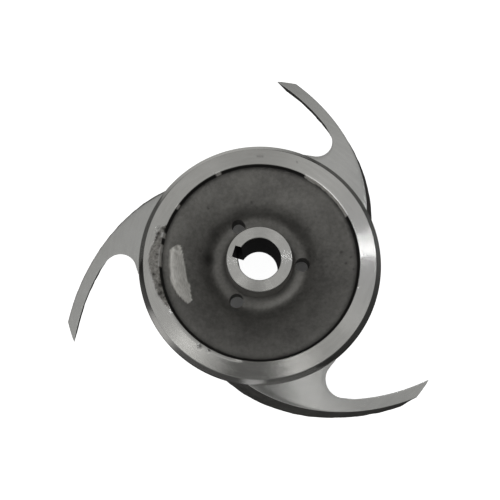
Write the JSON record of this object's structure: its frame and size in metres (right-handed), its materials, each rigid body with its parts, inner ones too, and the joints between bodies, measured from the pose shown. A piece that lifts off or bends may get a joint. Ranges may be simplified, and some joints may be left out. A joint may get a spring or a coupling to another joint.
{
  "type": "pulp pump impeller",
  "caption": "Semi-open pump impeller casting: a dished disc with keyed hub, machined ring and balance holes, and spiral vanes that run out past the cropped edge of the disc.",
  "frame": {"origin": "on the shaft axis, at the front end of the hub, which stands on the floor", "axes": "+Z along the shaft axis towards the drive side, away from the floor; +X and +Y across it, with the keyway near -X"},
  "size_m": [0.3571, 0.355, 0.0769],
  "materials": {
    "stainless_casting": "cast skin with machined hub, ring and vane backs"
  },
  "bodies": {
    "root": {"impeller_casting": "stainless_casting"}
  },
  "joints": []
}
